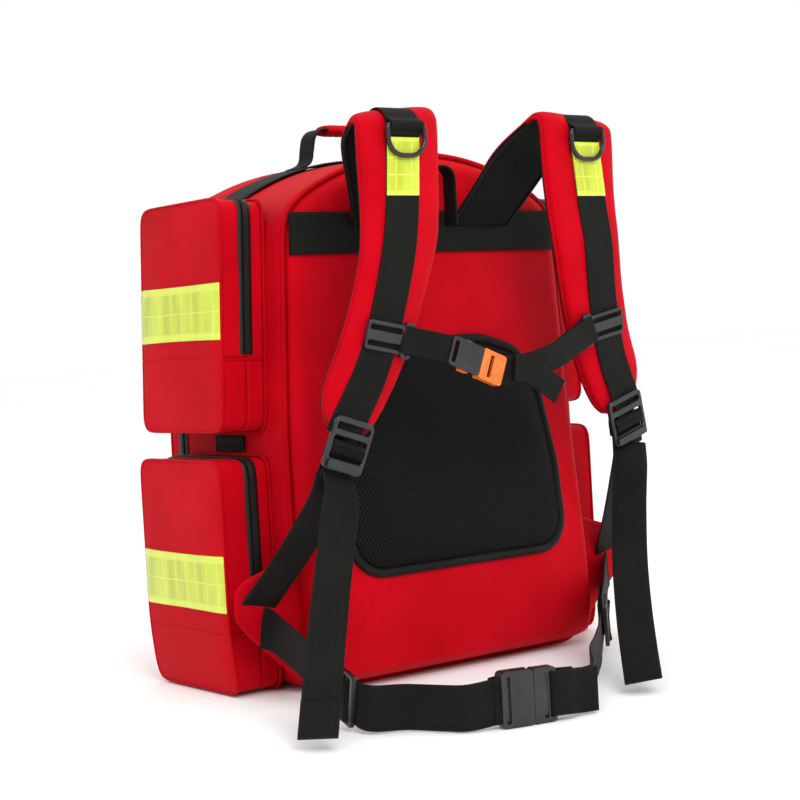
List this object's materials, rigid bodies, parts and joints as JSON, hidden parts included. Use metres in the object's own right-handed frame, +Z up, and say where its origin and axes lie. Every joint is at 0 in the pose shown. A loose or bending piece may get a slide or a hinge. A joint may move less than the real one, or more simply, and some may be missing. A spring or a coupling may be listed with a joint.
{
  "type": "trauma backpack",
  "caption": "Red emergency backpack with clamshell compartment, side pockets, padded shoulder straps, sternum strap, hip belt and grab handle.",
  "frame": {"origin": "middle of the base on the ground", "axes": "+Z up, -Y towards the wearer (back panel and straps), +Y out of the front cover, +X the wearer's left"},
  "size_m": [0.5525, 0.5105, 0.5375],
  "materials": {
    "red_fabric": "coated woven polyester",
    "black_webbing": "ribbed polyester webbing",
    "black_mesh": "spacer mesh",
    "foam": "open foam",
    "stiffener": "sheet",
    "grey_lining": "padded lining",
    "reflective_tape": "embossed reflective vinyl",
    "zip_tape": "zip tape",
    "zip_metal": "black enamel",
    "dark_plastic": "satin moulded acetal",
    "orange_plastic": "satin moulded acetal"
  },
  "bodies": {
    "pack": {"anchor_webs": "black_webbing", "back_panel": "red_fabric", "back_piping": "red_fabric", "belt_webs": "black_webbing", "divider": "grey_lining", "foam_cores": "foam", "frame_sheet": "stiffener", "gusset_webbing": "black_webbing", "hip_wings": "red_fabric", "lower_left_pocket": "red_fabric", "lower_right_pocket": "red_fabric", "lumbar_binding": "black_webbing", "lumbar_pad": "black_mesh", "main_shell": "red_fabric", "main_zip": "zip_tape", "pocket_zips": "zip_tape", "shoulder_pad_left": "red_fabric", "shoulder_pad_right": "red_fabric", "strap_patches": "reflective_tape", "strap_tails": "black_webbing", "strap_webs": "black_webbing", "upper_left_pocket": "red_fabric", "upper_right_pocket": "red_fabric", "waist_socket": "dark_plastic", "yoke_webbing": "black_webbing"},
    "main_cover": {"main_cover": "red_fabric", "front_pocket": "red_fabric", "front_zip": "zip_tape"},
    "front_lid": {"front_lid": "red_fabric"},
    "front_zip_slider": {"front_zip_slider": "zip_metal"},
    "upper_right_lid": {"upper_right_lid": "red_fabric", "upper_right_tape": "reflective_tape"},
    "upper_right_zip_slider": {"upper_right_zip_slider": "zip_metal"},
    "upper_left_lid": {"upper_left_lid": "red_fabric", "upper_left_tape": "reflective_tape"},
    "upper_left_zip_slider": {"upper_left_zip_slider": "zip_metal"},
    "lower_right_lid": {"lower_right_lid": "red_fabric", "lower_right_tape": "reflective_tape"},
    "lower_right_zip_slider": {"lower_right_zip_slider": "zip_metal"},
    "lower_left_lid": {"lower_left_lid": "red_fabric", "lower_left_tape": "reflective_tape"},
    "lower_left_zip_slider": {"lower_left_zip_slider": "zip_metal"},
    "main_zip_slider_upper": {"main_zip_slider_upper": "zip_metal"},
    "main_zip_slider_lower": {"main_zip_slider_lower": "zip_metal"},
    "handle": {"handle_web": "black_webbing", "handle_grip": "red_fabric"},
    "d_ring_right": {"d_ring_right": "dark_plastic"},
    "ladder_lock_right": {"ladder_lock_right": "dark_plastic"},
    "tri_glide_right": {"tri_glide_right": "dark_plastic"},
    "d_ring_left": {"d_ring_left": "dark_plastic"},
    "ladder_lock_left": {"ladder_lock_left": "dark_plastic"},
    "tri_glide_left": {"tri_glide_left": "dark_plastic"},
    "sternum_right": {"sternum_slider_right": "dark_plastic", "sternum_web_right": "black_webbing", "sternum_socket": "dark_plastic"},
    "sternum_left": {"sternum_slider_left": "dark_plastic", "sternum_web_left": "black_webbing"},
    "sternum_plug": {"sternum_plug": "orange_plastic"},
    "waist_plug": {"waist_plug": "dark_plastic"}
  },
  "joints": [
    {"name": "main_cover_fold", "type": "hinge", "parent": "pack", "child": "main_cover", "pos_m": [0, 0.105, 0.065], "axis": [-1, 0, 0], "range_deg": [0, 90]},
    {"name": "front_lid_fold", "type": "hinge", "parent": "main_cover", "child": "front_lid", "pos_m": [0, 0.137, 0.136], "axis": [-1, 0, 0], "range_deg": [0, 90]},
    {"name": "front_zip_travel", "type": "slide", "parent": "main_cover", "child": "front_zip_slider", "axis": [0, 0, 1], "range_m": [0, 0.13]},
    {"name": "upper_right_lid_fold", "type": "hinge", "parent": "pack", "child": "upper_right_lid", "pos_m": [-0.21939, 0, 0.31138], "axis": [0, -1, 0], "range_deg": [0, 90]},
    {"name": "upper_right_zip_travel", "type": "slide", "parent": "pack", "child": "upper_right_zip_slider", "axis": [0.0515, 0, 0.9987], "range_m": [0, 0.11]},
    {"name": "upper_left_lid_fold", "type": "hinge", "parent": "pack", "child": "upper_left_lid", "pos_m": [0.21939, 0, 0.31138], "axis": [0, 1, 0], "range_deg": [0, 90]},
    {"name": "upper_left_zip_travel", "type": "slide", "parent": "pack", "child": "upper_left_zip_slider", "axis": [-0.0515, 0, 0.9987], "range_m": [0, 0.11]},
    {"name": "lower_right_lid_fold", "type": "hinge", "parent": "pack", "child": "lower_right_lid", "pos_m": [-0.2295, 0, 0.06], "axis": [0, -1, 0], "range_deg": [0, 90]},
    {"name": "lower_right_zip_travel", "type": "slide", "parent": "pack", "child": "lower_right_zip_slider", "axis": [0, 0, 1], "range_m": [0, 0.11]},
    {"name": "lower_left_lid_fold", "type": "hinge", "parent": "pack", "child": "lower_left_lid", "pos_m": [0.2295, 0, 0.06], "axis": [0, 1, 0], "range_deg": [0, 90]},
    {"name": "lower_left_zip_travel", "type": "slide", "parent": "pack", "child": "lower_left_zip_slider", "axis": [0, 0, 1], "range_m": [0, 0.11]},
    {"name": "main_zip_travel_upper", "type": "slide", "parent": "pack", "child": "main_zip_slider_upper", "axis": [0, 0, 1], "range_m": [0, 0.06]},
    {"name": "main_zip_travel_lower", "type": "slide", "parent": "pack", "child": "main_zip_slider_lower", "axis": [0, 0, 1], "range_m": [-0.04, 0]},
    {"name": "handle_flop", "type": "hinge", "parent": "pack", "child": "handle", "pos_m": [0, 0.022, 0.502], "axis": [1, 0, 0], "range_deg": [-60, 60]},
    {"name": "d_ring_right_swing", "type": "hinge", "parent": "pack", "child": "d_ring_right", "pos_m": [-0.108, -0.2207, 0.505], "axis": [-1, 0, 0], "range_deg": [0, 120]},
    {"name": "ladder_lock_right_tilt", "type": "hinge", "parent": "pack", "child": "ladder_lock_right", "pos_m": [-0.16221, -0.19494, 0.24839], "axis": [-0.9489, -0.0516, 0.3114], "range_deg": [0, 12]},
    {"name": "tri_glide_right_travel", "type": "slide", "parent": "pack", "child": "tri_glide_right", "axis": [0.1589, 0.9588, 0.2356], "range_m": [0, 0.06]},
    {"name": "d_ring_left_swing", "type": "hinge", "parent": "pack", "child": "d_ring_left", "pos_m": [0.108, -0.2207, 0.505], "axis": [-1, 0, 0], "range_deg": [0, 120]},
    {"name": "ladder_lock_left_tilt", "type": "hinge", "parent": "pack", "child": "ladder_lock_left", "pos_m": [0.16221, -0.19494, 0.24839], "axis": [-0.9489, 0.0516, -0.3114], "range_deg": [0, 12]},
    {"name": "tri_glide_left_travel", "type": "slide", "parent": "pack", "child": "tri_glide_left", "axis": [0.6911, 0.6348, 0.3455], "range_m": [0, 0.06]},
    {"name": "sternum_slider_right_travel", "type": "slide", "parent": "pack", "child": "sternum_right", "axis": [0.1994, -0.1602, 0.9667], "range_m": [-0.02, 0.02]},
    {"name": "sternum_slider_left_travel", "type": "slide", "parent": "pack", "child": "sternum_left", "axis": [-0.1994, -0.1602, 0.9667], "range_m": [-0.02, 0.02]},
    {"name": "sternum_plug_release", "type": "slide", "parent": "sternum_right", "child": "sternum_plug", "axis": [0.9298, 0, -0.3681], "range_m": [0, 0.018]},
    {"name": "waist_plug_release", "type": "slide", "parent": "pack", "child": "waist_plug", "axis": [0.9715, -0.2369, 0], "range_m": [0, 0.02]}
  ],
  "couplings": [
    {"joint": "sternum_slider_left_travel", "follows": "sternum_slider_right_travel", "ratio": 1}
  ]
}
